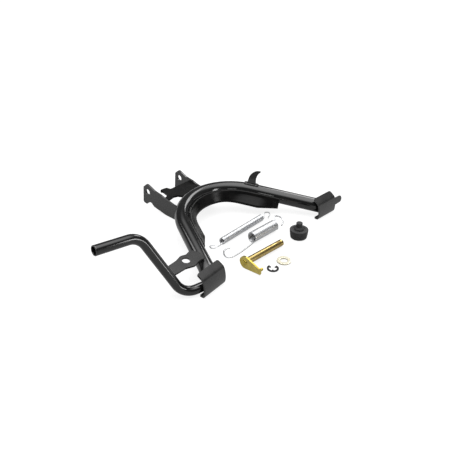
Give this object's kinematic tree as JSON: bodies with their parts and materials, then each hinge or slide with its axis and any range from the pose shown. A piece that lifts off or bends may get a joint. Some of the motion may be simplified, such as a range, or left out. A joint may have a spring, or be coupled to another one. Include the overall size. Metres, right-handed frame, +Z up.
{
  "type": "motorcycle centre stand",
  "caption": "Welded U-shaped tubular centre stand with pivot ears, folded feet and a bent foot lever, lying flat with its springs, pivot pin, clip, washer and bump stop beside it.",
  "frame": {"origin": "on the floor, under the middle of the box round the whole layout", "axes": "+X along the pivot axis towards the foot lever, +Y from the pivot ears down to the feet, +Z up from the floor the stand lies on"},
  "size_m": [0.5314, 0.3422, 0.1274],
  "materials": {
    "gloss_black_tube": "gloss black enamel on steel tube",
    "black_plate": "gloss black enamel on steel plate",
    "zinc_wire": "bright zinc plated spring wire",
    "yellow_plate": "yellow passivated zinc on steel",
    "pale_gold_plate": "pale yellow passivated zinc on steel",
    "black_oxide": "black oxide spring steel",
    "black_rubber": "matt moulded rubber"
  },
  "bodies": {
    "root": {"frame_tube": "gloss_black_tube", "bend_gusset": "black_plate", "pivot_ear_left": "black_plate", "pivot_ear_right": "black_plate", "stop_plate": "black_plate", "spring_hook": "black_plate", "foot_left": "black_plate", "foot_right": "black_plate", "foot_lever": "gloss_black_tube", "lever_brace": "black_plate", "long_spring": "zinc_wire", "short_spring": "zinc_wire", "pivot_pin": "yellow_plate", "pin_flag": "yellow_plate", "washer": "pale_gold_plate", "e_clip": "black_oxide", "bump_stop": "black_rubber"}
  },
  "joints": []
}
